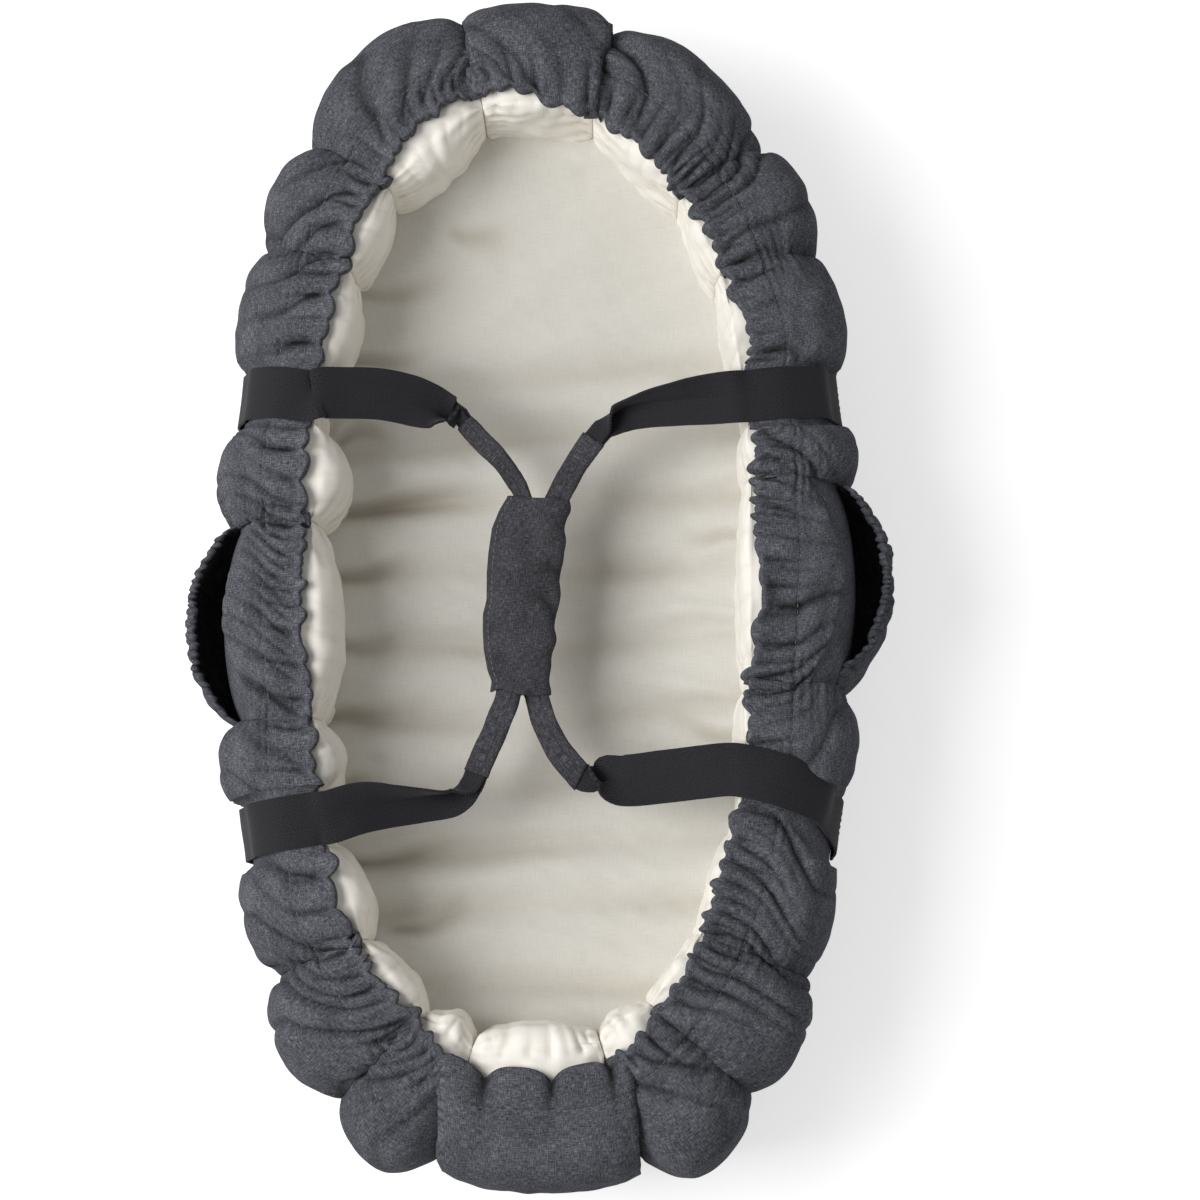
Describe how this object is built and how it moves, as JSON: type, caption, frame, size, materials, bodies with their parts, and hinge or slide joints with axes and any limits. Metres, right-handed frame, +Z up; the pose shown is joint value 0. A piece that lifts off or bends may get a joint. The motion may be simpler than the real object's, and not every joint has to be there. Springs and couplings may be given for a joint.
{
  "type": "infant lounger",
  "caption": "Oval stuffed infant lounger with a scalloped bumper, a gathered carrying cover, side pockets and webbing carry handles held by a hook-and-loop wrap.",
  "frame": {"origin": "on the floor, under the middle of the lounger's overall box", "axes": "+Y towards the head end, along the longest side; +Z up; +X to the right seen from above with the head end away"},
  "size_m": [0.514, 0.8693, 0.1886],
  "materials": {
    "cover_cloth": "charcoal melange cotton and linen canvas, matt",
    "nest_cotton": "undyed cream cotton, plain weave, soft",
    "strap_webbing": "black cotton webbing with a herringbone rib",
    "elastic": "white braided elastic",
    "hook_and_loop": "black hook-and-loop tape",
    "board": "pressed fibre board, raw"
  },
  "bodies": {
    "carrier": {"cover_base": "cover_cloth", "cover_head_panel": "cover_cloth", "cover_left_wall": "cover_cloth", "cover_foot_panel": "cover_cloth", "cover_right_wall": "cover_cloth", "left_pocket": "cover_cloth", "left_pocket_rim": "cover_cloth", "right_pocket": "cover_cloth", "right_pocket_rim": "cover_cloth", "sleeping_pad": "nest_cotton", "bumper_head": "nest_cotton", "bumper_foot": "nest_cotton", "bumper_left_1": "nest_cotton", "bumper_left_2": "nest_cotton", "bumper_left_3": "nest_cotton", "bumper_left_4": "nest_cotton", "bumper_left_5": "nest_cotton", "bumper_left_6": "nest_cotton", "bumper_left_7": "nest_cotton", "bumper_left_8": "nest_cotton", "bumper_left_9": "nest_cotton", "bumper_right_1": "nest_cotton", "bumper_right_2": "nest_cotton", "bumper_right_3": "nest_cotton", "bumper_right_4": "nest_cotton", "bumper_right_5": "nest_cotton", "bumper_right_6": "nest_cotton", "bumper_right_7": "nest_cotton", "bumper_right_8": "nest_cotton", "bumper_right_9": "nest_cotton", "left_strap_end_head": "strap_webbing", "left_strap_end_foot": "strap_webbing", "right_strap_end_head": "strap_webbing", "right_strap_end_foot": "strap_webbing", "hem_elastic": "elastic", "base_board": "board"},
    "left_handle": {"left_webbing": "strap_webbing", "left_grip_sleeve": "cover_cloth"},
    "right_handle": {"right_webbing": "strap_webbing", "right_grip_sleeve": "cover_cloth", "wrap_back": "cover_cloth", "loop_strip": "hook_and_loop"},
    "wrap_flap": {"wrap_flap": "cover_cloth", "hook_strip": "hook_and_loop"}
  },
  "joints": [
    {"name": "left_handle_swing", "type": "hinge", "parent": "carrier", "child": "left_handle", "pos_m": [-0.2198, 0, 0.148], "axis": [0.0225, -0.9997, 0], "range_deg": [0, 202]},
    {"name": "right_handle_swing", "type": "hinge", "parent": "carrier", "child": "right_handle", "pos_m": [0.2215, 0, 0.148], "axis": [0.0128, 0.9999, 0], "range_deg": [0, 202]},
    {"name": "wrap_flap_open", "type": "hinge", "parent": "right_handle", "child": "wrap_flap", "pos_m": [0.01647, -0.01253, 0.145], "axis": [0.1028, 0.9947, 0], "range_deg": [0, 170]}
  ]
}
